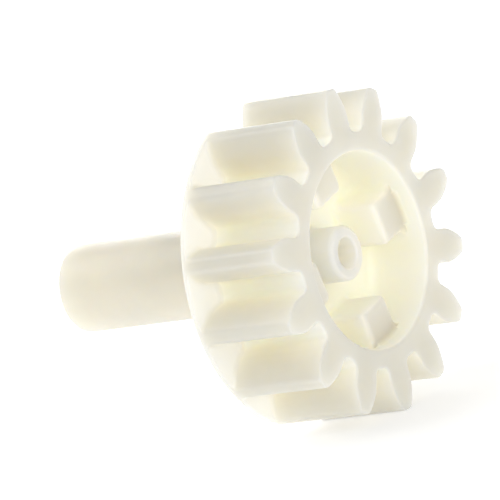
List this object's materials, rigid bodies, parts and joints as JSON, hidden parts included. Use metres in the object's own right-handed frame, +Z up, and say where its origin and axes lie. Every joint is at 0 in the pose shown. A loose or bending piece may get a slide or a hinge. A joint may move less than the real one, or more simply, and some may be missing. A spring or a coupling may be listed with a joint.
{
  "type": "spur pinion",
  "caption": "Small translucent plastic spur pinion moulded with its own long shaft, a part-circle back flange, and a cup in its front face with lugs and a hollow post.",
  "frame": {"origin": "on the pinion's axis, at the middle of its overall length", "axes": "Y along the axis: the cup opens towards -Y and the shaft points along +Y; Z up, with tooth_04 pointing almost straight up and the flange on the -X side"},
  "size_m": [0.0318, 0.0354, 0.032],
  "materials": {
    "moulding": "satin moulded natural nylon, slightly translucent",
    "thin_section": "satin moulded natural nylon, thin and translucent",
    "cup_interior": "satin moulded natural nylon, warmer where light passes through the wall",
    "journal": "smooth satin moulded natural nylon"
  },
  "bodies": {
    "root": {"rim_ring": "moulding", "tooth_01": "moulding", "tooth_02": "moulding", "tooth_03": "moulding", "tooth_04": "moulding", "tooth_05": "moulding", "tooth_06": "moulding", "tooth_07": "moulding", "tooth_08": "moulding", "tooth_09": "moulding", "tooth_10": "moulding", "tooth_11": "moulding", "tooth_12": "moulding", "tooth_13": "moulding", "tooth_14": "moulding", "back_flange": "thin_section", "cup_floor": "cup_interior", "cup_lug_1": "cup_interior", "cup_lug_2": "cup_interior", "cup_lug_3": "cup_interior", "cup_lug_4": "cup_interior", "hollow_post": "cup_interior", "shaft": "journal"}
  },
  "joints": []
}
